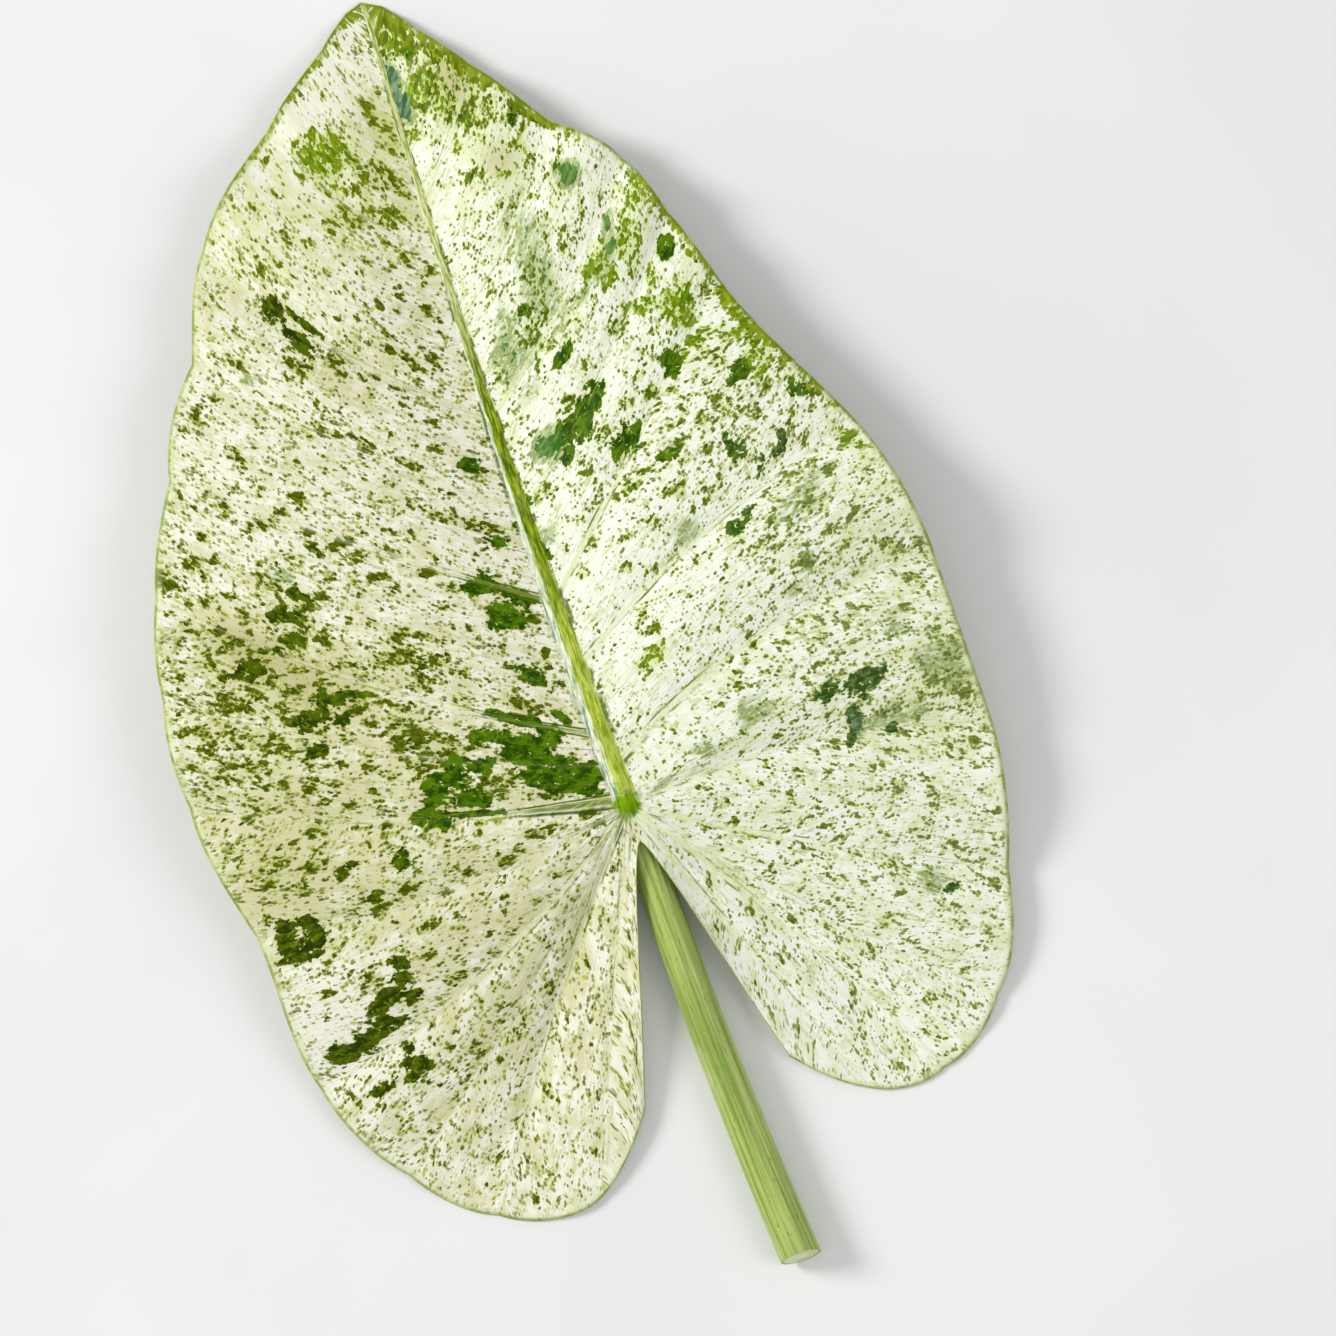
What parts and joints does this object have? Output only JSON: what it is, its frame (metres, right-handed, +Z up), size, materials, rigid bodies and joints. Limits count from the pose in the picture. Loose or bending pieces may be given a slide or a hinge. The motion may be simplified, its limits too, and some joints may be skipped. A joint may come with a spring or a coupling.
{
  "type": "alocasia leaf",
  "caption": "Variegated alocasia leaf, picked and lying face up: a long heart-shaped blade with a waved margin, sunken side veins, a keeled midrib and a cut petiole.",
  "frame": {"origin": "middle of the leaf's box, on the surface that it rests on", "axes": "+Y from the petiole to the tip, +Z up out of the upper face, +X to the right seen from above with the tip up"},
  "size_m": [0.252, 0.4282, 0.0254],
  "materials": {
    "blade": "satin living leaf, creamy white flecked with greens",
    "petiole": "satin living stalk, light green with pale streaks"
  },
  "bodies": {
    "root": {"blade": "blade", "petiole": "petiole"}
  },
  "joints": []
}
